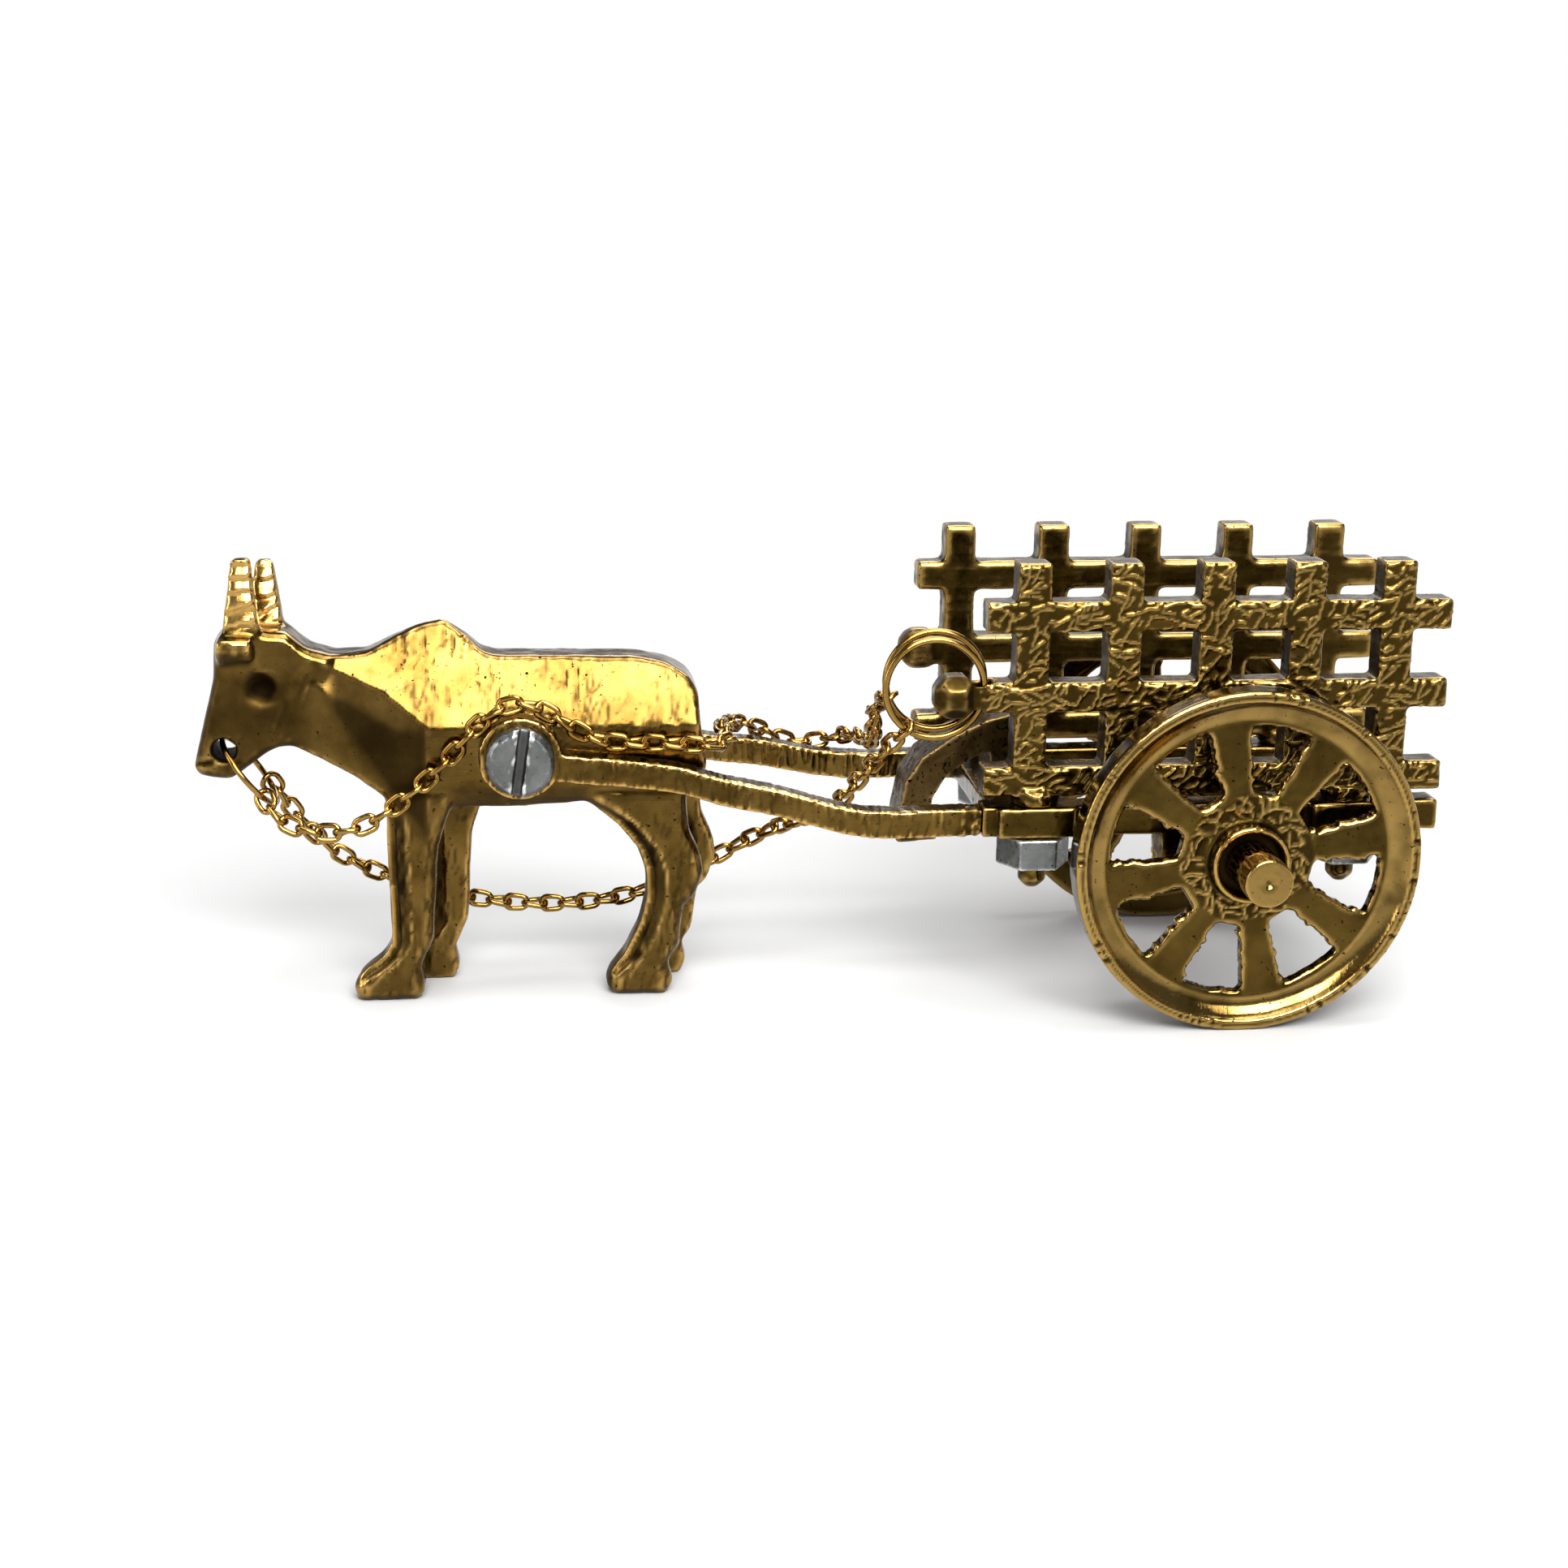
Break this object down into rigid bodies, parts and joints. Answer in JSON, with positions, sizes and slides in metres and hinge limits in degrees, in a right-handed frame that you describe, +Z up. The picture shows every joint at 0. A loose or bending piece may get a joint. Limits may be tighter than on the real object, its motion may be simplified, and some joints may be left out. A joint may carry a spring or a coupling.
{
  "type": "brass model bullock cart",
  "caption": "Small solid-brass ornament of a bullock drawing a two-wheeled cart with lattice sides, spoked wheels that turn, screwed shafts and chain reins.",
  "frame": {"origin": "middle of the outline on the floor", "axes": "+X from the muzzle to the rear of the cart, +Z up, left side at -Y"},
  "size_m": [0.12, 0.0506, 0.0444],
  "materials": {
    "brass": "polished, filed and chased by hand",
    "cast_brass": "pitted as cast",
    "chain_brass": "bright drawn wire",
    "zinc": "dull zinc plate"
  },
  "bodies": {
    "cart": {"bullock": "brass", "shaft_left": "brass", "shaft_right": "brass", "chassis": "brass", "side_panel_left": "brass", "side_panel_right": "brass", "axle": "brass", "rein_left": "chain_brass", "rein_right": "chain_brass", "rein_rings": "chain_brass", "nose_ring": "chain_brass", "screw_left": "zinc", "screw_right": "zinc", "nuts_left": "zinc", "nuts_right": "zinc", "front_bracket": "cast_brass"},
    "wheel_left": {"wheel_left": "brass"},
    "wheel_right": {"wheel_right": "brass"}
  },
  "joints": [
    {"name": "wheel_left_spin", "type": "hinge", "parent": "cart", "child": "wheel_left", "pos_m": [0.0396, -0.0174, 0.0167], "axis": [0, 1, 0], "continuous": true},
    {"name": "wheel_right_spin", "type": "hinge", "parent": "cart", "child": "wheel_right", "pos_m": [0.0396, 0.0174, 0.0167], "axis": [0, 1, 0], "continuous": true}
  ]
}
